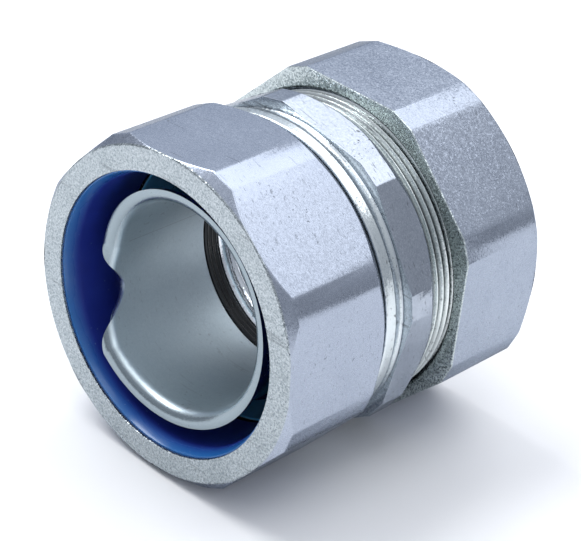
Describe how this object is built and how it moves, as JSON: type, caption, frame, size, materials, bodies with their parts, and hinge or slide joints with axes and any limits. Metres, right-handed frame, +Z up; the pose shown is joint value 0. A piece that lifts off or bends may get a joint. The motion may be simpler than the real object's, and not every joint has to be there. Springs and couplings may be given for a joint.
{
  "type": "conduit compression fitting",
  "caption": "Straight zinc-plated coupling that joins liquid-tight flexible conduit to plain rigid conduit, with an octagonal compression nut at each end and a blue seal ring in the hose mouth.",
  "frame": {"origin": "on the fitting's axis, at the middle of its overall length", "axes": "+Y along the axis from the hose mouth to the rigid-conduit end, +Z up with a flat of the conduit nut facing down, +X to the right seen from the hose mouth"},
  "size_m": [0.0622, 0.0622, 0.0622],
  "materials": {
    "body_zinc": "zinc plated, fine sparkle",
    "hose_nut_zinc": "zinc plated, fine sparkle",
    "blue_seal": "moulded gloss",
    "ferrule_steel": "plated sheet steel, satin",
    "black_rubber": "matte moulded rubber",
    "conduit_nut_zinc": "zinc plated, fine sparkle",
    "gland_rubber": "matte moulded rubber",
    "washer_steel": "plated pressed steel",
    "grip_steel": "plated, toothed bore"
  },
  "bodies": {
    "coupling": {"coupling_body": "body_zinc", "ferrule_gasket": "black_rubber"},
    "ferrule": {"ferrule": "ferrule_steel"},
    "hose_seal": {"hose_seal_ring": "blue_seal"},
    "hose_nut": {"hose_nut": "hose_nut_zinc"},
    "conduit_rings": {"gland_ring": "gland_rubber", "slip_washer": "washer_steel", "grip_ring": "grip_steel"},
    "conduit_nut": {"conduit_nut": "conduit_nut_zinc"}
  },
  "joints": [
    {"name": "ferrule_turn", "type": "hinge", "parent": "coupling", "child": "ferrule", "pos_m": [0, 0, 0], "axis": [0, 1, 0], "continuous": true},
    {"name": "hose_seal_slide", "type": "slide", "parent": "coupling", "child": "hose_seal", "axis": [0, 1, 0], "range_m": [-0.00601, 0.00096]},
    {"name": "hose_nut_turn", "type": "hinge", "parent": "hose_seal", "child": "hose_nut", "pos_m": [0, 0, 0], "axis": [0, 1, 0], "range_deg": [-1440, 228]},
    {"name": "conduit_rings_slide", "type": "slide", "parent": "coupling", "child": "conduit_rings", "axis": [0, 1, 0], "range_m": [-0.00301, 0.00301]},
    {"name": "conduit_nut_turn", "type": "hinge", "parent": "conduit_rings", "child": "conduit_nut", "pos_m": [0, 0, 0], "axis": [0, 1, 0], "range_deg": [-720, 720]}
  ],
  "couplings": [
    {"joint": "hose_seal_slide", "follows": "hose_nut_turn", "m_per_rad": 0.00023873},
    {"joint": "conduit_rings_slide", "follows": "conduit_nut_turn", "m_per_rad": 0.00023873}
  ]
}
